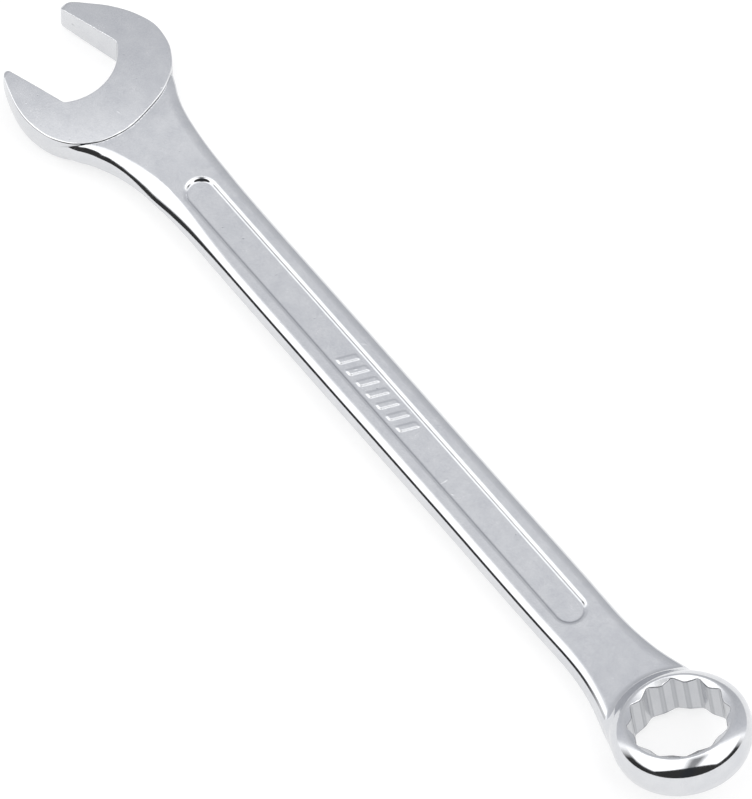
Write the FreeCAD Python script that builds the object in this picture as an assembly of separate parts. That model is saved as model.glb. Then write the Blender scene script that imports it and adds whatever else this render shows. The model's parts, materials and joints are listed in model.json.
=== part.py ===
import FreeCAD, Part
import os
import math
from FreeCAD import Vector, Matrix

# Combination wrench, 17 mm across flats at both ends, about 210 mm long.
# One steel forging, cut into three face-to-face regions of one rigid body:
#   open_end_head  - the two prongs, the open jaw and the neck behind them
#   shank          - the handle, with a recessed panel on each side
#   ring_head      - the 12-point ring, tilted out of the shank's plane
# X runs along the shank from the open end to the ring, +Z is up with the wrench lying flat,
# Y is left seen from above. Millimetres.

# ---------------------------------------------------------------- driving dimensions
AF = 17.0                  # nominal size across flats, both ends
JAW_GAP = 17.12            # clear width between the jaw flats
JAW_TURN = 16.9            # deg, jaw turned in the plane of the shank
HEAD_TURN = 15.0           # deg, directions in which the head outline is given
THROAT_U = -3.9            # inner end of the jaw flats
THROAT_APEX_U = -0.15      # deepest point of the throat arc
HEAD_T = 7.8               # head thickness from the throat corners back
HEAD_TAPER = 4.9           # deg, each face closes from the throat corners to the tips
HEAD_HALF_W = 16.55        # half width of the head across the prongs

SHANK_W = 14.4             # shank width
SHANK_T = 5.2              # shank thickness
SHANK_R = 2.0              # rounding of the shank's long edges

PANEL_X0, PANEL_X1 = 26.8, 147.5   # ends of the recessed panel
PANEL_W = 6.5              # panel width
PANEL_D = 0.55             # panel depth
BAR_X, BAR_PITCH, BAR_N = 85.3, 3.1, 7   # row of raised plain bars in the panel
BAR_L, BAR_W, BAR_H = 3.5, 1.1, 0.35
BAR_SLANT = 20.0           # deg

RING_X, RING_Z = 177.9, 3.5        # centre of the ring, from the jaw centre
RING_TILT = 15.0           # deg, ring plane rises away from the shank
RING_OD = 26.8             # outer diameter
RING_H = 10.0              # height along its own axis
RING_R = 3.2               # rounding of the outer edges
POINTS = 12
SOCKET_AF = 17.15          # across flats of the socket's two hexagons
SOCKET_LEAD = 1.0          # depth of the lead-in at both faces
LEAD_R = 10.9              # its radius at the face

CUT_HEAD_X = 20.0          # face between head and shank
CUT_RING_X = 159.0         # face between shank and ring

# head outline (u toward the throat, v across), in the directions turned by HEAD_TURN
# left prong, seen from above with the ring to the right; it reaches a little further than the right one
OUTLINE_LEFT = [(-18.15, 8.7), (-17.9, 9.75), (-17.1, 10.65), (-15.9, 11.5), (-14.6, 12.25), (-13.0, 13.2), (-11.3, 14.15),
                (-9.5, 14.95), (-7.6, 15.65), (-5.9, 16.1), (-4.12, 16.4), (-1.79, HEAD_HALF_W), (0.0, 16.28),
                (1.79, 15.66), (4.03, 14.5), (5.8, 12.97), (7.15, 11.45), (8.25, 9.57), (9.2, 7.34), (9.85, 4.92),
                (10.1, 2.68), (10.15, 0.0)]
OUTLINE_RIGHT = [(-17.65, 9.1), (-17.45, 10.0), (-16.9, 10.7), (-15.95, 11.45), (-14.7, 12.35), (-13.1, 13.4), (-11.0, 14.6),
                 (-9.0, 15.5), (-7.1, 16.1), (-5.3, 16.45), (-3.4, 16.6), (-1.5, HEAD_HALF_W), (0.0, 16.3),
                 (1.79, 15.7), (4.03, 14.5), (5.8, 12.97), (7.15, 11.45), (8.25, 9.57), (9.2, 7.34), (9.85, 4.92),
                 (10.1, 2.68)]

a = math.radians(JAW_TURN)
U = Vector(math.cos(a), math.sin(a), 0)
V = Vector(-math.sin(a), math.cos(a), 0)


head_turn = math.radians(HEAD_TURN)


def uv(u, v, z=0.0):
    return U * u + V * v + Vector(0, 0, z)


def outline_point(u, v, z=0.0):
    return Vector(u * math.cos(head_turn) - v * math.sin(head_turn), u * math.sin(head_turn) + v * math.cos(head_turn), z)


def spline(points):
    s = Part.BSplineCurve()
    s.interpolate(points)
    return s.toShape()


# ---------------------------------------------------------------- open-end head
def head_blank():
    up = [outline_point(u, v, -8) for u, v in OUTLINE_LEFT]
    low = [outline_point(u, -v, -8) for u, v in reversed(OUTLINE_RIGHT)]
    edges = [spline(up + low), Part.LineSegment(low[-1], up[0]).toShape()]
    blank = Part.Face(Part.Wire(edges)).extrude(Vector(0, 0, 16))
    # slab that is flat over the neck and throat and closes toward the tips
    k = math.tan(math.radians(HEAD_TAPER))
    h = HEAD_T / 2
    u0, u1 = -25.0, 16.0
    z0 = h + (u0 - THROAT_U) * k
    prof = [uv(u0, -30, -z0), uv(THROAT_U, -30, -h), uv(u1, -30, -h), uv(u1, -30, h), uv(THROAT_U, -30, h), uv(u0, -30, z0)]
    slab = Part.Face(Part.makePolygon(prof + [prof[0]])).extrude(V * 60)
    return blank.common(slab)


def jaw_cutter():
    g = JAW_GAP / 2
    edges = [Part.LineSegment(uv(-30, -g, -12), uv(THROAT_U, -g, -12)).toShape(),
             Part.Arc(uv(THROAT_U, -g, -12), uv(THROAT_APEX_U, 0, -12), uv(THROAT_U, g, -12)).toShape(),
             Part.LineSegment(uv(THROAT_U, g, -12), uv(-30, g, -12)).toShape(),
             Part.LineSegment(uv(-30, g, -12), uv(-30, -g, -12)).toShape()]
    return Part.Face(Part.Wire(edges)).extrude(Vector(0, 0, 24))


# ---------------------------------------------------------------- shank with its flares
# half width of the shank along X: neck behind the head, handle, flare into the ring
NECK_LEFT = [(4.2, 12.9), (6.3, 11.6), (8.6, 10.4), (10.9, 9.45), (13.1, 8.8), (15.3, 8.35), (17.9, 8.0),
             (22.0, 7.6), (27.0, 7.4), (33.0, 7.25), (38.0, SHANK_W / 2)]
NECK_RIGHT = [(6.2, 14.35), (8.5, 13.0), (10.4, 11.95), (12.3, 11.0), (14.2, 10.1), (16.2, 9.4), (18.3, 8.85),
              (20.3, 8.5), (24.4, 8.0), (28.5, 7.55), (33.0, 7.3), (38.0, SHANK_W / 2)]
RING_PLAN = [(150.0, SHANK_W / 2), (155.5, 7.35), (158.0, 7.65), (160.5, 8.1), (163.0, 8.7), (165.5, 9.45),
             (168.0, 10.2), (170.2, 10.8)]
# half thickness along X
SHANK_SIDE = [(2.0, 3.2), (9.0, 3.3), (14.0, 3.2), (20.0, 2.9), (27.0, 2.68), (34.0, SHANK_T / 2)]


def bar_shape():
    left = [Vector(x, y, 0) for x, y in NECK_LEFT]
    right = [Vector(x, -y, 0) for x, y in NECK_RIGHT]
    ring = [Vector(x, y, 0) for x, y in RING_PLAN]
    ring_r = [Vector(x, -y, 0) for x, y in RING_PLAN]
    edges = [spline(left), Part.LineSegment(left[-1], ring[0]).toShape(), spline(ring),
             Part.LineSegment(ring[-1], ring_r[-1]).toShape(),
             spline(ring_r), Part.LineSegment(right[-1], ring_r[0]).toShape(), spline(right),
             Part.LineSegment(right[0], left[0]).toShape()]
    wire = Part.Wire(Part.__sortEdges__(edges))
    face = Part.Face(wire)
    face.translate(Vector(0, 0, -8))
    plan = face.extrude(Vector(0, 0, 16))
    # side profile
    up = [Vector(x, 0, z) for x, z in SHANK_SIDE]
    dn = [Vector(x, 0, -z) for x, z in SHANK_SIDE]
    x1 = RING_PLAN[-1][0]
    h = SHANK_T / 2
    pts_top = [spline(up), Part.LineSegment(up[-1], Vector(x1, 0, h)).toShape(),
               Part.LineSegment(Vector(x1, 0, h), Vector(x1, 0, -h)).toShape(),
               Part.LineSegment(Vector(x1, 0, -h), dn[-1]).toShape(), spline(dn),
               Part.LineSegment(dn[0], up[0]).toShape()]
    sface = Part.Face(Part.Wire(Part.__sortEdges__(pts_top)))
    sface.translate(Vector(0, -20, 0))
    side = sface.extrude(Vector(0, 40, 0))
    body = plan.common(side)
    # round the long edges of the handle
    longs = []
    for ed in body.Edges:
        bb = ed.BoundBox
        if bb.XLength > 5 and abs(bb.Center.y) > 3:
            longs.append(ed)
    try:
        body = body.makeFillet(SHANK_R, longs)
    except Exception as err:
        print("shank rounding failed:", err)
    return body


def panel(sign):
    r = PANEL_W / 2
    x0, x1 = PANEL_X0 + r, PANEL_X1 - r
    z = sign * (SHANK_T / 2 + 0.6)
    p = [Vector(x0, r, z), Vector(x1, r, z), Vector(x1, -r, z), Vector(x0, -r, z)]
    w = Part.Wire([Part.LineSegment(p[0], p[1]).toShape(),
                   Part.Arc(p[1], Vector(x1 + r, 0, z), p[2]).toShape(),
                   Part.LineSegment(p[2], p[3]).toShape(),
                   Part.Arc(p[3], Vector(x0 - r, 0, z), p[0]).toShape()])
    return Part.Face(w).extrude(Vector(0, 0, -sign * (PANEL_D + 0.6)))


def bars(sign):
    out = []
    s = math.tan(math.radians(BAR_SLANT)) * BAR_L / 2
    zf = SHANK_T / 2 - PANEL_D
    for i in range(BAR_N):
        x = BAR_X + (i - (BAR_N - 1) / 2) * BAR_PITCH
        h, w = BAR_L / 2, BAR_W / 2
        z = sign * (zf - 0.5)
        p = [Vector(x - w - s, -h, z), Vector(x + w - s, -h, z), Vector(x + w + s, h, z), Vector(x - w + s, h, z)]
        f = Part.Face(Part.makePolygon(p + [p[0]]))
        out.append(f.extrude(Vector(0, 0, sign * (BAR_H + 0.5))))
    return out


# ---------------------------------------------------------------- ring head
def ring_blank():
    r, h = RING_OD / 2, RING_H / 2
    c = Part.makeCylinder(r, RING_H, Vector(0, 0, -h))
    rim = [e for e in c.Edges if abs(e.BoundBox.ZLength) < 1e-6 and e.BoundBox.XLength > r]
    return c.makeFillet(RING_R, rim)


def socket_cutter():
    ro = SOCKET_AF / 2 / math.cos(math.pi / 6)
    depth = RING_H + 4
    cut = None
    for k in range(2):
        pts = [Vector(ro * math.cos(math.radians(60 * i + 30 * k)), ro * math.sin(math.radians(60 * i + 30 * k)), -depth / 2)
               for i in range(7)]
        hexa = Part.Face(Part.makePolygon(pts)).extrude(Vector(0, 0, depth))
        cut = hexa if cut is None else cut.fuse(hexa)
    h = RING_H / 2
    for s in (1, -1):
        z1 = s * (h - SOCKET_LEAD)
        z2 = s * (h + 0.6)
        r1 = SOCKET_AF / 2 / math.cos(math.pi / 12)
        r2 = r1 + (SOCKET_LEAD + 0.6) * (LEAD_R - r1) / SOCKET_LEAD
        cone = Part.makeCone(r1, r2, abs(z2 - z1), Vector(0, 0, z1), Vector(0, 0, s))
        cut = cut.fuse(cone)
    return cut


def place_ring(shape):
    shape = shape.copy()
    shape.rotate(Vector(0, 0, 0), Vector(0, 1, 0), -RING_TILT)
    shape.translate(Vector(RING_X, 0, RING_Z))
    return shape


# ---------------------------------------------------------------- forging, then its regions
body = bar_shape()
for s in (1, -1):
    body = body.cut(panel(s))
    for b in bars(s):
        body = body.fuse(b)
body = body.fuse(place_ring(ring_blank()))
body = body.fuse(head_blank())
body = body.cut(place_ring(socket_cutter()))
body = body.cut(jaw_cutter())
body = body.removeSplitter()
print("solids", len(body.Solids), "valid", body.isValid(), "volume", round(body.Volume, 1))

big = 400.0
box_head = Part.makeBox(big, big, big, Vector(CUT_HEAD_X - big, -big / 2, -big / 2))
box_ring = Part.makeBox(big, big, big, Vector(CUT_RING_X, -big / 2, -big / 2))
box_mid = Part.makeBox(CUT_RING_X - CUT_HEAD_X, big, big, Vector(CUT_HEAD_X, -big / 2, -big / 2))

nodes = {"open_end_head": body.common(box_head), "shank": body.common(box_mid), "ring_head": body.common(box_ring)}

bb = Part.makeCompound(list(nodes.values())).optimalBoundingBox()
shift = Vector(-(bb.XMin + bb.XMax) / 2, -(bb.YMin + bb.YMax) / 2, -bb.ZMin)
print("shift", round(shift.x, 3), round(shift.y, 3), round(shift.z, 3), "size", round(bb.XLength, 2), round(bb.YLength, 2), round(bb.ZLength, 2))

os.makedirs("parts", exist_ok=True)
for name, shape in nodes.items():
    shape = shape.copy()
    shape.translate(shift)
    if len(shape.Solids) == 1:
        shape = shape.Solids[0]
    print(name, "solids", len(shape.Solids), "valid", shape.isValid(), "volume", round(shape.Volume, 1),
          [round(v, 2) for v in (shape.BoundBox.XMin, shape.BoundBox.XMax, shape.BoundBox.YMin, shape.BoundBox.YMax, shape.BoundBox.ZMin, shape.BoundBox.ZMax)])
    shape.exportStep("parts/%s.step" % name)
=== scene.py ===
import json
import math
import bmesh
import bpy
import numpy as np
from mathutils import Matrix, Vector


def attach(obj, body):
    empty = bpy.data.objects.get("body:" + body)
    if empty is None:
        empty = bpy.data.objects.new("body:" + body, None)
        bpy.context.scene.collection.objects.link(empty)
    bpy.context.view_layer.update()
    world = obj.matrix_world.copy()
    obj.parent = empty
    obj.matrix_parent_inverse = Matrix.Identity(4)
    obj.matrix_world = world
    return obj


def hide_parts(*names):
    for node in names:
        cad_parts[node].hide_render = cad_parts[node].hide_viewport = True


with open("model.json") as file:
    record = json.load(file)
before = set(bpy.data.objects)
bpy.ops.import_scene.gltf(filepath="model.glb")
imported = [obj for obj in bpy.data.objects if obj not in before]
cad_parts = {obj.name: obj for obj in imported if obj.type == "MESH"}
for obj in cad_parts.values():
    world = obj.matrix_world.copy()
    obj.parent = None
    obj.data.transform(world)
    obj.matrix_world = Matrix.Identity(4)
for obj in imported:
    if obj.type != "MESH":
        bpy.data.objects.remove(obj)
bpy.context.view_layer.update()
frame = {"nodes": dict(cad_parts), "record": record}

# ------------------------------------------------------------------ places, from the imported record
# Shapes below are written in millimetres from the jaw's centre, X to the ring, Z up. The packed
# record's ring mount says where that frame sits.
RING_X, RING_Z, RING_TILT = 177.9, 3.5, math.radians(15.0)
ring_mount = next(m for m in frame["record"]["mounts"] if m["name"] == "ring_socket")
SHIFT = np.array(ring_mount["pos_m"], float) * 1000.0 - np.array([RING_X, 0.0, RING_Z])

# ------------------------------------------------------------------ small curve and distance helpers


class Spline:
    """Natural cubic spline of y over x, straight beyond its ends."""

    def __init__(self, xs, ys):
        x, y = np.array(xs, float), np.array(ys, float)
        n, h = len(x), np.diff(x)
        m = np.zeros((n, n))
        r = np.zeros(n)
        m[0, 0] = m[-1, -1] = 1.0
        for i in range(1, n - 1):
            m[i, i - 1], m[i, i], m[i, i + 1] = h[i - 1], 2 * (h[i - 1] + h[i]), h[i]
            r[i] = 6 * ((y[i + 1] - y[i]) / h[i] - (y[i] - y[i - 1]) / h[i - 1])
        self.x, self.y, self.k = x, y, np.linalg.solve(m, r)

    def __call__(self, t, slope=False):
        x, y, k = self.x, self.y, self.k
        tc = np.clip(t, x[0], x[-1])
        i = np.clip(np.searchsorted(x, tc, side="right") - 1, 0, len(x) - 2)
        h = x[i + 1] - x[i]
        a, b = (x[i + 1] - tc) / h, (tc - x[i]) / h
        d = (y[i + 1] - y[i]) / h - (3 * a * a - 1) / 6 * h * k[i] + (3 * b * b - 1) / 6 * h * k[i + 1]
        if slope:
            return d
        v = a * y[i] + b * y[i + 1] + ((a**3 - a) * k[i] + (b**3 - b) * k[i + 1]) * h * h / 6
        return v + d * (t - tc)


def rmax(a, b, r):
    return np.minimum(np.maximum(a, b), -r) + np.hypot(np.maximum(a + r, 0), np.maximum(b + r, 0))


def rmin(a, b, r):
    return -rmax(-a, -b, r)


def emax(a, b, ra, rb, k):
    """Inside both a and b, with a corner rounded to a superellipse ra along a and rb along b, of power k."""
    p, q = np.maximum(a + ra, 1e-6) / ra, np.maximum(b + rb, 1e-6) / rb
    h = (p**k + q**k) ** (1 / k)
    g = np.hypot(p ** (k - 1) / ra, q ** (k - 1) / rb) / h ** (k - 1)
    round_part = (h - 1) / np.maximum(g, 1e-9)
    return np.where(h > 0.02, round_part, np.maximum(a, b))


def smooth(t, a, b):
    u = np.clip((t - a) / (b - a), 0, 1)
    return u * u * (3 - 2 * u)


# ------------------------------------------------------------------ shapes
JAW = math.radians(15.0)
CA, SA = math.cos(JAW), math.sin(JAW)
JAW_TURN = math.radians(16.9)
CJ, SJ = math.cos(JAW_TURN), math.sin(JAW_TURN)
JAW_HALF, THROAT_R = 8.52, 11.48
TIP_LEFT, TIP_RIGHT, TIP_ROUND = -18.15, -17.6, 1.35
THROAT_C = -0.12 - THROAT_R
LEFT = [(-19.4, 7.9), (-18.5, 9.25), (-17.3, 10.5), (-15.9, 11.5), (-14.6, 12.25), (-13.0, 13.2), (-11.3, 14.15),
        (-9.5, 14.95), (-7.6, 15.65), (-5.9, 16.1), (-4.12, 16.4), (-1.79, 16.55), (0.0, 16.28), (1.79, 15.66),
        (4.03, 14.5), (5.8, 12.97), (7.15, 11.45), (8.25, 9.57), (9.2, 7.34), (9.85, 4.92), (10.1, 2.68), (10.15, 0.0)]
RIGHT = [(-18.8, 8.2), (-18.0, 9.4), (-17.1, 10.45), (-15.95, 11.4), (-14.7, 12.3), (-13.1, 13.35), (-11.0, 14.55),
         (-9.0, 15.45), (-7.1, 16.05), (-5.3, 16.4), (-3.4, 16.55), (-1.5, 16.5), (0.0, 16.25), (1.79, 15.7), (4.03, 14.5),
         (5.8, 12.97), (7.15, 11.45), (8.25, 9.57), (9.2, 7.34), (9.85, 4.92), (10.1, 2.68)]


def polar_outline():
    pts = [(u, -v) for u, v in RIGHT] + [(u, v) for u, v in reversed(LEFT)]
    th = np.array([math.atan2(v, u) for u, v in pts])
    r = np.array([math.hypot(u, v) for u, v in pts])
    o = np.argsort(th)
    return Spline(th[o], r[o])


HEAD_R = polar_outline()
NECK_L = Spline(*zip((4.2, 12.5), (6.3, 11.4), (8.6, 10.4), (10.9, 9.45), (13.1, 8.8), (15.3, 8.35), (17.9, 8.0),
                     (22.0, 7.6), (27.0, 7.4), (33.0, 7.25), (38.0, 7.2), (60.0, 7.2), (120.0, 7.2), (146.0, 7.2),
                     (155.5, 7.35), (158.0, 7.65), (160.5, 8.1), (163.0, 8.7), (165.5, 9.45), (168.0, 10.2), (170.5, 10.8)))
NECK_R = Spline(*zip((6.2, 14.2), (8.5, 12.95), (10.4, 11.95), (12.3, 11.0), (14.2, 10.1), (16.2, 9.4), (18.3, 8.85),
                     (20.3, 8.5), (24.4, 8.0), (28.5, 7.55), (33.0, 7.3), (38.0, 7.2), (60.0, 7.2), (120.0, 7.2), (146.0, 7.2),
                     (155.5, 7.35), (158.0, 7.65), (160.5, 8.1), (163.0, 8.7), (165.5, 9.45), (168.0, 10.2), (170.5, 10.8)))
HALF_T = Spline(*zip((-4.0, 2.0), (0.0, 2.6), (3.0, 2.98), (6.0, 3.15), (9.0, 3.22), (12.0, 3.2), (15.0, 3.1), (20.0, 2.9), (27.0, 2.68), (34.0, 2.6), (60.0, 2.6), (120.0, 2.6), (148.0, 2.6), (156.0, 2.68), (163.0, 2.85), (172.0, 3.15)))

PANEL_X0, PANEL_X1, PANEL_R, PANEL_D = 26.5, 147.8, 3.72, 0.55
WALL_MAX, FLOOR_R, LIP_R = math.radians(42.3), 0.42, 1.0
BAR_X, BAR_PITCH, BAR_N, BAR_L, BAR_W, BAR_H = 85.3, 3.1, 7, 3.7, 1.25, 0.11
BAR_SLANT = math.tan(math.radians(20.0))


def wall_profile():
    """Height over distance across the panel's wall, 0 on the floor to PANEL_D on the land."""
    s, c = math.sin(WALL_MAX), math.cos(WALL_MAX)
    rise = PANEL_D - (FLOOR_R + LIP_R) * (1 - c)
    straight = rise / math.tan(WALL_MAX)
    return FLOOR_R * s, straight, LIP_R * s


W1, W2, W3 = wall_profile()
WALL_W = W1 + W2 + W3


def wall_height(t):
    """t runs from 0 at the floor's edge to WALL_W at the land's edge."""
    t = np.clip(t, 0, WALL_W)
    low = FLOOR_R - np.sqrt(np.maximum(FLOOR_R**2 - np.minimum(t, W1) ** 2, 0))
    mid = np.clip(t - W1, 0, W2) * math.tan(WALL_MAX)
    back = WALL_W - np.maximum(t, W1 + W2)
    high = LIP_R * (1 - math.cos(WALL_MAX)) - (LIP_R - np.sqrt(np.maximum(LIP_R**2 - back**2, 0)))
    return low + mid + high


def recess(x, y):
    """How far the shank's faces lie below their land at a place."""
    half = (PANEL_X1 - PANEL_X0) / 2 - PANEL_R
    px = np.maximum(np.abs(x - (PANEL_X0 + PANEL_X1) / 2) - half, 0)
    d = np.hypot(px, y) - PANEL_R
    depth = PANEL_D - wall_height(d + WALL_W)
    # raised plain bars on the panel's floor
    i = np.clip(np.round((x - y * BAR_SLANT - BAR_X) / BAR_PITCH), -(BAR_N - 1) / 2, (BAR_N - 1) / 2)
    bx = (x - y * BAR_SLANT - BAR_X - i * BAR_PITCH) * math.cos(math.radians(20.0))
    bd = rmax(np.abs(bx) - BAR_W / 2, np.abs(y) - BAR_L / 2, 0.35)
    return depth - BAR_H * (1 - smooth(bd, -0.32, 0.3)) * (depth > 0)


def bar_plan(x, y):
    left, right = NECK_L(x), NECK_R(x)
    a = (y - left) / np.hypot(1, NECK_L(x, True))
    b = (-y - right) / np.hypot(1, NECK_R(x, True))
    return np.maximum(a, b)


def head_plan(x, y):
    u, v = x * CA + y * SA, -x * SA + y * CA
    r, th = np.hypot(u, v), np.arctan2(v, u)
    radius, slope = HEAD_R(th), HEAD_R(th, True)
    return (r - radius) / np.hypot(1, slope / np.maximum(radius, 1)), u, v


def jaw_plan(x, y):
    u, v = x * CJ + y * SJ, -x * SJ + y * CJ
    circle = np.where(u < THROAT_C, -THROAT_R, np.hypot(u - THROAT_C, v) - THROAT_R)
    return rmax(np.abs(v) - JAW_HALF, circle, 0.3)


def forging(p):
    """Signed distance to the wrench's surface, negative inside."""
    x, y, z = p[..., 0], p[..., 1], p[..., 2]
    az = np.abs(z)
    # open-end head: a crowned disc with the jaw cut out
    outline, u, v = head_plan(x, y)
    draft = np.where(z > 0, 0.010, 0.036) * z * z
    outline = outline + draft
    jaw = jaw_plan(x, y)
    crown = 3.92 - 0.0028 * np.minimum(u * u + v * v, 520)
    disc_plan = rmax(outline, -jaw, 0.55)
    edge = 0.12 + 0.2 * smooth(outline + jaw, -1.5, 1.5) * (1 - 0.6 * smooth(u, 2.0, 6.0))
    disc = rmax(disc_plan, az - crown, edge)
    disc = rmax(disc, np.where(v > 0, TIP_LEFT - u, TIP_RIGHT - u), TIP_ROUND)
    # neck, handle and flare: one bar with rounded shoulders
    plan = rmax(bar_plan(x, y), 5.0 - x, 1.0)
    start = smooth(x, 0.0, 5.0)
    plan = rmin(plan, outline + 0.3 + 1.2 * (1 - start), 0.2 + 2.6 * smooth(x, 3.5, 9.0))
    plan = plan + draft * (1 - smooth(x, 8.0, 24.0))
    plan = rmax(plan, 0.5 - jaw, 0.4)
    half = HALF_T(x)
    neck = smooth(x, 12.0, 26.0) * (1 - smooth(x, 22.0, 50.0))
    early = smooth(x, 3.0, 9.0) * (1 - smooth(x, 20.0, 46.0))
    near = 1 - smooth(y, -3.0, 3.0)
    ends = 1 - smooth(x, 16.0, 45.0) + smooth(x, 148.0, 158.0)
    wide = 2.04 + (1.15 * neck + 0.3 * early) * near + (0.25 + 0.3 * ends) * (1 - near)
    tall = np.minimum(2.02 + 0.8 * neck * near - (0.45 + 0.4 * ends) * (1 - near), half - 0.12)
    power = 1.95 - 0.55 * neck * near
    bar = emax(plan, az - half + recess(x, y), wide, tall, power)
    body = rmin(bar, disc, 0.03 + 0.09 * smooth(u, 1.0, 5.0) + 0.7 * smooth(half - az, 0.9, 2.2))
    # ring, in its own tilted axes
    qx, qz = x - RING_X, z - RING_Z
    rx = qx * math.cos(RING_TILT) + qz * math.sin(RING_TILT)
    h = -qx * math.sin(RING_TILT) + qz * math.cos(RING_TILT)
    rho, ah = np.hypot(rx, y), np.abs(h)
    barrel = np.hypot(rho - 4.3, ah) - 9.1
    ring = rmax(barrel, ah - np.where(h > 0, 4.98, 4.82), np.where(h > 0, 3.2, 1.6))
    lead = (ah - 4.86 + (11.0 - rho) * math.tan(LEAD)) * math.cos(LEAD)
    body = rmax(body, x - 171.3, 0.4)
    body = rmin(body, ring, 1.25)
    inner = np.where(rho < 11.2, lead, -1e3)
    body = rmax(body, inner, 0.22)
    hexes = []
    for k in range(2):
        sides = [np.abs(rx * math.cos(math.radians(60 * i + 30 * (1 - k))) + y * math.sin(math.radians(60 * i + 30 * (1 - k)))) - 8.575 for i in range(3)]
        hexes.append(rmax(rmax(sides[0], sides[1], 0.45), sides[2], 0.45))
    hole = rmin(hexes[0], hexes[1], 0.25)
    return rmax(body, -hole, 0.13)


LEAD = math.radians(26.0)


def in_chunks(f, p, size=200000):
    return np.concatenate([f(p[i : i + size]) for i in range(0, len(p), size)])


def gradient(p, e=0.004):
    g = np.empty_like(p)
    for k in range(3):
        step = np.zeros(3)
        step[k] = e
        g[:, k] = (in_chunks(forging, p + step) - in_chunks(forging, p - step)) / (2 * e)
    return g


def surface(xs, ys, zs):
    """Dual mesh of the forging's surface on a grid of unequal spacing: vertices and quads, in millimetres."""
    nx, ny, nz = len(xs), len(ys), len(zs)
    f = np.empty((nx, ny, nz))
    for i in range(0, nx, 16):
        part = np.stack(np.meshgrid(xs[i : i + 16], ys, zs, indexing="ij"), -1)
        f[i : i + 16] = forging(part)
    f[np.abs(f) < 1e-7] = 1e-7
    solid = f < 0
    total = np.zeros((nx - 1, ny - 1, nz - 1, 3))
    count = np.zeros((nx - 1, ny - 1, nz - 1))
    grid = [xs, ys, zs]
    crossings = []
    for axis in range(3):
        lo = [slice(None)] * 3
        hi = [slice(None)] * 3
        lo[axis], hi[axis] = slice(0, -1), slice(1, None)
        a, b = f[tuple(lo)], f[tuple(hi)]
        cross = solid[tuple(lo)] != solid[tuple(hi)]
        idx = np.argwhere(cross)
        t = a[cross] / (a[cross] - b[cross])
        pos = np.stack([grid[k][idx[:, k]] for k in range(3)], -1)
        pos[:, axis] += t * (grid[axis][idx[:, axis] + 1] - grid[axis][idx[:, axis]])
        others = [k for k in range(3) if k != axis]
        for d0 in (0, -1):
            for d1 in (0, -1):
                c = idx.copy()
                c[:, others[0]] += d0
                c[:, others[1]] += d1
                ok = np.all((c >= 0) & (c < np.array([nx - 1, ny - 1, nz - 1])), axis=1)
                ci = tuple(c[ok].T)
                np.add.at(total, ci, pos[ok])
                np.add.at(count, ci, 1)
        crossings.append((axis, others, idx, solid[tuple(lo)][cross]))
    number = -np.ones(count.shape, int)
    used = count > 0
    number[used] = np.arange(used.sum())
    verts = total[used] / count[used][:, None]
    quads = []
    for axis, others, idx, inside_low in crossings:
        inner = np.all((idx[:, others] > 0) & (idx[:, others] < np.array([[nx, ny, nz][k] - 1 for k in others])), axis=1)
        idx, low = idx[inner], inside_low[inner]
        cells = []
        for d0, d1 in ((-1, -1), (0, -1), (0, 0), (-1, 0)):
            c = idx.copy()
            c[:, others[0]] += d0
            c[:, others[1]] += d1
            cells.append(number[tuple(c.T)])
        q = np.stack(cells, -1)
        flip = low if axis != 1 else ~low
        q[~flip] = q[~flip][:, ::-1]
        quads.append(q)
    quads = np.concatenate(quads)
    for _ in range(4):
        g = gradient(verts)
        d = in_chunks(forging, verts)
        n2 = np.maximum((g * g).sum(1), 0.05)
        step = g * (d / n2)[:, None]
        length = np.linalg.norm(step, axis=1)
        step *= np.minimum(1.0, 0.12 / np.maximum(length, 1e-9))[:, None]
        verts = verts - step
    return verts, quads


def spaced(*runs):
    """Grid lines from runs of (start, end, spacing) that follow one another."""
    out = [runs[0][0]]
    for a, b, s in runs:
        n = max(1, round((b - a) / s))
        out += list(a + (b - a) * (i + 1) / n for i in range(n))
    return np.array(out)


def curvature(verts):
    """How sharply the surface bends at each vertex: over 0 on outer edges, under 0 in corners."""
    e = 0.22
    total = -6 * in_chunks(forging, verts)
    for k in range(3):
        for s in (-e, e):
            step = np.zeros(3)
            step[k] = s
            total += in_chunks(forging, verts + step)
    return total / (e * e)


CUT_HEAD, CUT_RING = 20.0, 159.0


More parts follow.
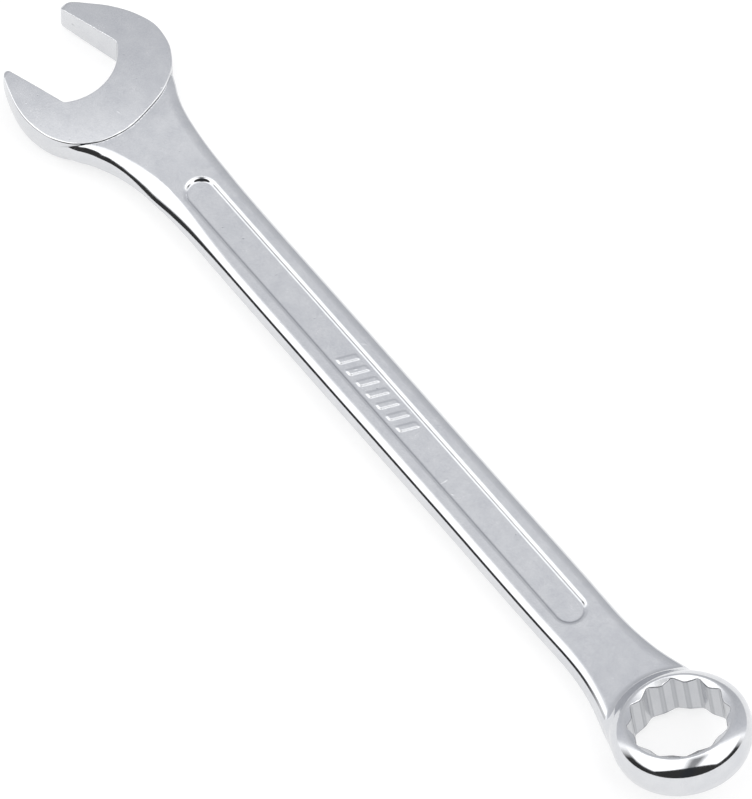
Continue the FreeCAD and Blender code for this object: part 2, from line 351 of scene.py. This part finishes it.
def build(name, node, xs, ys, zs, low=None, high=None):
    verts, quads = surface(xs, ys, zs)
    mesh = bpy.data.meshes.new(name)
    mesh.from_pydata(verts.tolist(), [], quads.tolist())
    bm = bmesh.new()
    bm.from_mesh(mesh)
    caps = []
    for x, side in ((low, -1), (high, 1)):
        if x is None:
            continue
        geom = bm.verts[:] + bm.edges[:] + bm.faces[:]
        bmesh.ops.bisect_plane(bm, geom=geom, dist=1e-5, plane_co=(x, 0, 0), plane_no=(side, 0, 0), clear_outer=True, clear_inner=False)
        edges = [e for e in bm.edges if e.is_boundary and all(abs(v.co.x - x) < 1e-3 for v in e.verts)]
        bmesh.ops.holes_fill(bm, edges=edges, sides=0)
        caps.append(x)
    bmesh.ops.recalc_face_normals(bm, faces=bm.faces[:])
    bm.to_mesh(mesh)
    bm.free()
    co = np.empty(len(mesh.vertices) * 3)
    mesh.vertices.foreach_get("co", co)
    co = co.reshape(-1, 3)
    g = gradient(co)
    g /= np.maximum(np.linalg.norm(g, axis=1), 1e-9)[:, None]
    bend = curvature(co)
    level = mesh.attributes.new("edge_bend", "FLOAT", "POINT")
    level.data.foreach_set("value", np.clip(bend, -6, 6).astype(np.float32))
    gloss = mesh.attributes.new("polish", "FLOAT", "POINT")
    gloss.data.foreach_set("value", polish(co, g).astype(np.float32))
    shade = mesh.attributes.new("socket", "FLOAT", "POINT")
    shade.data.foreach_set("value", in_socket(co).astype(np.float32))
    for poly in mesh.polygons:
        poly.use_smooth = True
    loops = np.empty(len(mesh.loops), int)
    mesh.loops.foreach_get("vertex_index", loops)
    normals = g[loops]
    for poly in mesh.polygons:
        if len(poly.vertices) > 6:
            n = np.array(poly.normal)
            normals[poly.loop_start : poly.loop_start + poly.loop_total] = n
    final = (co + SHIFT) * 0.001
    mesh.vertices.foreach_set("co", final.ravel())
    mesh.update()
    mesh.normals_split_custom_set(normals.tolist())
    obj = bpy.data.objects.new(name, mesh)
    bpy.context.scene.collection.objects.link(obj)
    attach(obj, "root")
    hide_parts(node)
    print(name, len(mesh.vertices), "vertices", len(mesh.polygons), "faces")
    return obj


def in_socket(p):
    """1 on the walls of the ring's hole, cut by broaching; the material paints shade there."""
    x, y, z = p.T
    qx, qz = x - RING_X, z - RING_Z
    rx = qx * math.cos(RING_TILT) + qz * math.sin(RING_TILT)
    h = -qx * math.sin(RING_TILT) + qz * math.cos(RING_TILT)
    rho = np.hypot(rx, y)
    lead = 4.9 - (11.0 - rho) * math.tan(LEAD)
    return ((rho < 10.3) & (np.abs(h) < lead - 0.12)) * 1.0


def polish(p, n):
    """1 where the forging is buffed bright, 0 on its satin flats."""
    x, y, z = p.T
    qx, qz = x - RING_X, z - RING_Z
    rx = qx * math.cos(RING_TILT) + qz * math.sin(RING_TILT)
    h = -qx * math.sin(RING_TILT) + qz * math.cos(RING_TILT)
    rho = np.hypot(rx, y)
    flat = smooth(np.abs(n[:, 2]), 0.93, 0.995)
    shoulders = 1 - flat
    crown = smooth(rho, 8.9, 9.7) * smooth(np.abs(h), 0.9, 2.2) * smooth(x, 163.0, 166.5)
    walls = smooth(1 - np.abs(n[:, 2]), 0.55, 0.9)
    socket = (rho < 10.2) * (np.abs(h) < 4.6)
    out = shoulders * (1 - 0.75 * walls)
    out = np.maximum(out, crown)
    return np.clip(np.where(socket, 0.15, out), 0, 1)


ys_wide = spaced((-19.2, -8.6, 0.2), (-8.6, 8.6, 0.2), (8.6, 18.2, 0.2))
fine_z = spaced((-4.6, -1.9, 0.16), (-1.9, 1.9, 0.32), (1.9, 4.6, 0.16))
head = build("open_end_head_surface", "open_end_head", spaced((-21.0, 21.4, 0.2)), ys_wide, fine_z, high=CUT_HEAD)
ys_bar = spaced((-9.6, -4.0, 0.2), (-4.0, 4.0, 0.13), (4.0, 9.6, 0.2))
zs_bar = spaced((-3.4, -1.7, 0.09), (-1.7, 1.7, 0.34), (1.7, 3.4, 0.09))
xs_bar = spaced((18.6, 25.8, 0.7), (25.8, 31.0, 0.16), (31.0, 40.0, 0.9), (40.0, 73.5, 2.0), (73.5, 97.0, 0.14),
                (97.0, 142.0, 2.0), (142.0, 143.6, 0.4), (143.6, 148.6, 0.16), (148.6, 160.4, 0.7))
bar = build("shank_surface", "shank", xs_bar, ys_bar, zs_bar, low=CUT_HEAD, high=CUT_RING)
ring = build("ring_head_surface", "ring_head", spaced((157.6, 192.2, 0.2)), spaced((-14.2, 14.2, 0.2)), spaced((-5.4, 12.2, 0.2)), low=CUT_RING)

# ------------------------------------------------------------------ satin chrome


def satin_chrome():
    mat = bpy.data.materials.new("satin_chrome")
    mat.use_nodes = True
    nt = mat.node_tree
    nodes, links = nt.nodes, nt.links
    nodes.clear()
    out = nodes.new("ShaderNodeOutputMaterial")
    bsdf = nodes.new("ShaderNodeBsdfPrincipled")
    links.new(bsdf.outputs["BSDF"], out.inputs["Surface"])
    bsdf.inputs["Metallic"].default_value = 1.0
    bsdf.inputs["IOR"].default_value = 2.5
    coord = nodes.new("ShaderNodeTexCoord")
    scale = nodes.new("ShaderNodeVectorMath")
    scale.operation = "SCALE"
    scale.inputs["Scale"].default_value = 1000.0
    links.new(coord.outputs["Object"], scale.inputs[0])

    def noise(size, detail=2.0, rough=0.5, distortion=0.0):
        n = nodes.new("ShaderNodeTexNoise")
        n.inputs["Scale"].default_value = 1.0 / size
        n.inputs["Detail"].default_value = detail
        n.inputs["Roughness"].default_value = rough
        n.inputs["Distortion"].default_value = distortion
        links.new(scale.outputs[0], n.inputs["Vector"])
        return n

    def math_node(op, a, b=None, c=None, clamp=False):
        n = nodes.new("ShaderNodeMath")
        n.operation = op
        n.use_clamp = clamp
        for k, v in enumerate((a, b, c)):
            if v is None:
                continue
            if isinstance(v, (int, float)):
                n.inputs[k].default_value = v
            else:
                links.new(v, n.inputs[k])
        return n.outputs[0]

    def ramp(src, stops):
        n = nodes.new("ShaderNodeValToRGB")
        links.new(src, n.inputs[0])
        el = n.color_ramp.elements
        el[0].position, el[0].color = stops[0][0], (*[stops[0][1]] * 3, 1)
        el[1].position, el[1].color = stops[-1][0], (*[stops[-1][1]] * 3, 1)
        for pos, val in stops[1:-1]:
            e = el.new(pos)
            e.color = (val, val, val, 1)
        return n.outputs[0]

    def attribute(name):
        n = nodes.new("ShaderNodeAttribute")
        n.attribute_name = name
        return n.outputs["Fac"]

    shine = attribute("polish")
    bend = attribute("edge_bend")
    grain = noise(0.30, 3.0, 0.6).outputs["Fac"]
    mottle = noise(3.2, 3.0, 0.55, 0.3).outputs["Fac"]
    broad = noise(14.0, 2.0, 0.5).outputs["Fac"]
    pits = ramp(noise(0.85, 1.0, 0.4).outputs["Fac"], [(0.0, 1.0), (0.19, 1.0), (0.225, 0.0), (1.0, 0.0)])
    specks = ramp(noise(1.9, 1.0, 0.5, 0.4).outputs["Fac"], [(0.0, 0.0), (0.76, 0.0), (0.80, 1.0), (1.0, 1.0)])
    satin = math_node("SUBTRACT", 1.0, shine)
    # roughness: satin flats, buffed shoulders, both broken up by mottle and grain
    rough = math_node("MULTIPLY_ADD", satin, 0.15, 0.095)
    rough = math_node("MULTIPLY_ADD", math_node("SUBTRACT", mottle, 0.5), 0.10, rough)
    rough = math_node("MULTIPLY_ADD", math_node("SUBTRACT", grain, 0.5), 0.07, rough)
    wear = math_node("MULTIPLY", math_node("SUBTRACT", bend, 1.2), 0.5, clamp=True)
    rough = math_node("MULTIPLY_ADD", wear, -0.05, rough)
    rough = math_node("MAXIMUM", rough, 0.05)
    links.new(rough, bsdf.inputs["Roughness"])
    # colour: cool chrome, with painted shade in concave corners and inside the ring's hole, a little darker in pits,
    # brighter on worn edges
    mix = nodes.new("ShaderNodeMix")
    mix.data_type = "RGBA"
    mix.inputs["A"].default_value = (0.645, 0.655, 0.68, 1)
    mix.inputs["B"].default_value = (0.72, 0.727, 0.742, 1)
    tone = math_node("MULTIPLY_ADD", math_node("SUBTRACT", mottle, 0.5), 1.5, 0.5)
    tone = math_node("MULTIPLY_ADD", math_node("SUBTRACT", broad, 0.5), 0.8, tone)
    tone = math_node("MULTIPLY_ADD", math_node("SUBTRACT", grain, 0.5), 1.7, tone)
    tone = math_node("ADD", tone, math_node("MULTIPLY", wear, 0.6), clamp=True)
    links.new(tone, mix.inputs["Factor"])
    # dark tone mixed in for the painted shade in corners and in the ring's hole, and for the chrome's own pits
    dark = nodes.new("ShaderNodeMix")
    dark.data_type = "RGBA"
    dark.inputs["B"].default_value = (0.30, 0.31, 0.33, 1)
    # painted shade: concave corners and creases darkened, where shade would fall
    corner = math_node("MULTIPLY", math_node("SUBTRACT", math_node("MULTIPLY", bend, -1.0), 1.2), 0.12, clamp=True)
    pit_part = math_node("MULTIPLY", math_node("MULTIPLY", pits, satin), 0.35)
    # painted shade: the walls of the ring's hole darkened, with darker painted lines along the facets' creases and
    # edges
    socket = attribute("socket")
    lines = math_node("MULTIPLY", math_node("SUBTRACT", math_node("ABSOLUTE", bend), 0.5), 0.32, clamp=True)
    painted_hole_shade = math_node("MULTIPLY", socket, math_node("ADD", 0.27, lines))
    # painted corner shade together with the chrome's own pits
    corner_shade_and_pits = math_node("ADD", corner, pit_part, clamp=True)
    links.new(math_node("ADD", corner_shade_and_pits, painted_hole_shade, clamp=True), dark.inputs["Factor"])
    links.new(mix.outputs["Result"], dark.inputs["A"])
    links.new(dark.outputs["Result"], bsdf.inputs["Base Color"])
    # bump: fine plated grain on the satin faces, a faint ripple on the buffed ones
    height = math_node("MULTIPLY", grain, math_node("MULTIPLY_ADD", satin, 0.0065, 0.0008))
    height = math_node("MULTIPLY_ADD", math_node("SUBTRACT", mottle, 0.5), 0.010, height)
    height = math_node("MULTIPLY_ADD", math_node("MULTIPLY", pits, satin), -0.012, height)
    height = math_node("MULTIPLY_ADD", math_node("MULTIPLY", specks, satin), 0.02, height)
    bump = nodes.new("ShaderNodeBump")
    bump.inputs["Strength"].default_value = 1.0
    bump.inputs["Distance"].default_value = 0.001
    links.new(height, bump.inputs["Height"])
    links.new(bump.outputs["Normal"], bsdf.inputs["Normal"])
    return mat


chrome = satin_chrome()
for piece in (head, bar, ring):
    piece.data.materials.append(chrome)
for node in frame["nodes"].values():
    node.data.materials.clear()
    node.data.materials.append(chrome)

# ------------------------------------------------------------------ floor, light and camera
floor_mesh = bpy.data.meshes.new("floor")
size = 1.6
floor_mesh.from_pydata([(-size, -size, 0), (size, -size, 0), (size, size, 0), (-size, size, 0)], [], [(0, 1, 2, 3)])
floor = bpy.data.objects.new("floor", floor_mesh)
floor.location = (0, 0, -0.0002)
bpy.context.scene.collection.objects.link(floor)
pale = bpy.data.materials.new("pale_floor")
pale.use_nodes = True
pn = pale.node_tree
pb = pn.nodes["Principled BSDF"]
pb.inputs["Base Color"].default_value = (0.42, 0.42, 0.42, 1)
pb.inputs["Roughness"].default_value = 0.9
pb.inputs["Specular IOR Level"].default_value = 0.0
pb.inputs["Emission Color"].default_value = (1, 1, 1, 1)
pb.inputs["Emission Strength"].default_value = 0.67
floor_mesh.materials.append(pale)

world = bpy.data.worlds.new("studio")
bpy.context.scene.world = world
world.use_nodes = True
wn = world.node_tree
wn.nodes.clear()
w_out = wn.nodes.new("ShaderNodeOutputWorld")
w_bg = wn.nodes.new("ShaderNodeBackground")
wn.links.new(w_bg.outputs[0], w_out.inputs[0])
w_coord = wn.nodes.new("ShaderNodeTexCoord")
NEAR = Vector((0.7774, -0.6290, 0.0))
w_dot = wn.nodes.new("ShaderNodeVectorMath")
w_dot.operation = "DOT_PRODUCT"
w_dot.inputs[1].default_value = NEAR
wn.links.new(w_coord.outputs["Generated"], w_dot.inputs[0])
w_sep = wn.nodes.new("ShaderNodeSeparateXYZ")
wn.links.new(w_coord.outputs["Generated"], w_sep.inputs[0])


def w_ramp(src, stops):
    remap = wn.nodes.new("ShaderNodeMath")
    remap.operation = "MULTIPLY_ADD"
    remap.inputs[1].default_value = 0.5
    remap.inputs[2].default_value = 0.5
    wn.links.new(src, remap.inputs[0])
    n = wn.nodes.new("ShaderNodeValToRGB")
    wn.links.new(remap.outputs[0], n.inputs[0])
    el = n.color_ramp.elements
    el[0].position, el[1].position = stops[0][0] * 0.5 + 0.5, stops[-1][0] * 0.5 + 0.5
    for k, (pos, val) in enumerate(stops):
        e = el[0] if k == 0 else el[len(el) - 1] if k == len(stops) - 1 else el.new(pos * 0.5 + 0.5)
        e.color = (*val, 1) if isinstance(val, tuple) else (val, val, val, 1)
    return n.outputs[0]


# sky by how far a direction leans toward the near side: grey wall, then the big soft box overhead
sky = w_ramp(w_dot.outputs["Value"], [(-1.0, (0.33, 0.335, 0.35)), (-0.80, (0.38, 0.385, 0.40)), (-0.52, (0.43, 0.435, 0.455)),
                                      (-0.40, (0.51, 0.515, 0.53)), (-0.28, 1.0), (1.0, 1.0)])
ACROSS = Vector((0.6290, 0.7774, 0.0))
w_across = wn.nodes.new("ShaderNodeVectorMath")
w_across.operation = "DOT_PRODUCT"
w_across.inputs[1].default_value = ACROSS
wn.links.new(w_coord.outputs["Generated"], w_across.inputs[0])


def w_math(op, a, b, c=0.0):
    n = wn.nodes.new("ShaderNodeMath")
    n.operation = op
    for k, v in enumerate((a, b, c)):
        if isinstance(v, (int, float)):
            n.inputs[k].default_value = v
        else:
            wn.links.new(v, n.inputs[k])
    return n.outputs[0]


# the dark room stands highest straight ahead on the near side
off = w_math("SUBTRACT", w_across.outputs["Value"], 0.03)
past = w_math("SUBTRACT", w_dot.outputs["Value"], 0.1)
lift = w_math("MAXIMUM", w_math("MULTIPLY_ADD", w_math("MULTIPLY", off, off), -1.0, past), 0.0)
height = w_math("MULTIPLY_ADD", lift, -1.25, w_sep.outputs["Z"])
low = w_ramp(height, [(-1.0, 0.025), (0.36, 0.025), (0.47, 1.0), (1.0, 1.0)])
side = w_ramp(w_dot.outputs["Value"], [(-1.0, 0.0), (-0.35, 0.0), (0.05, 1.0), (1.0, 1.0)])
mixed = wn.nodes.new("ShaderNodeMix")
mixed.data_type = "RGBA"
mixed.blend_type = "MULTIPLY"
wn.links.new(side, mixed.inputs["Factor"])
wn.links.new(sky, mixed.inputs["A"])
wn.links.new(low, mixed.inputs["B"])
# a dark stand on the near side, from the floor almost to the zenith
stand = w_ramp(w_dot.outputs["Value"], [(-1.0, 0.0), (-0.20, 0.0), (-0.04, 1.0), (1.0, 1.0)])
stand_side = w_ramp(w_across.outputs["Value"], [(-1.0, 0.0), (-0.16, 0.0), (-0.03, 1.0), (0.10, 1.0), (0.24, 0.0), (1.0, 0.0)])
both = wn.nodes.new("ShaderNodeMath")
both.operation = "MULTIPLY"
wn.links.new(stand, both.inputs[0])
wn.links.new(stand_side, both.inputs[1])
part = wn.nodes.new("ShaderNodeMath")
part.operation = "MULTIPLY"
part.inputs[1].default_value = 0.8
wn.links.new(both.outputs[0], part.inputs[0])
shaded = wn.nodes.new("ShaderNodeMix")
shaded.data_type = "RGBA"
shaded.inputs["B"].default_value = (0.02, 0.022, 0.026, 1)
wn.links.new(part.outputs[0], shaded.inputs["Factor"])
wn.links.new(mixed.outputs["Result"], shaded.inputs["A"])
wn.links.new(shaded.outputs["Result"], w_bg.inputs["Color"])
w_bg.inputs["Strength"].default_value = 1.7

scene = bpy.context.scene
scene.view_settings.view_transform = "Standard"
scene.view_settings.look = "None"
scene.view_settings.exposure = 0.0
scene.view_settings.gamma = 1.0

cam_data = bpy.data.cameras.new("camera")
cam_data.sensor_fit = "AUTO"
cam_data.sensor_width = 36.0
cam_data.lens = 36.0 * 12353.70 / 799.0
cam_data.clip_start, cam_data.clip_end = 0.05, 50.0
camera = bpy.data.objects.new("camera", cam_data)
scene.collection.objects.link(camera)
right = Vector((0.60837567, 0.79349622, 0.01558167))
down = Vector((0.68769554, -0.51725440, -0.50943373))
forward = Vector((-0.39617405, 0.32064253, -0.86036881))
eye = Vector(np.array([1009.21, -748.12, 2006.41]) + SHIFT) * 0.001
camera.matrix_world = Matrix(((right.x, -down.x, -forward.x, eye.x), (right.y, -down.y, -forward.y, eye.y),
                              (right.z, -down.z, -forward.z, eye.z), (0, 0, 0, 1)))
scene.camera = camera
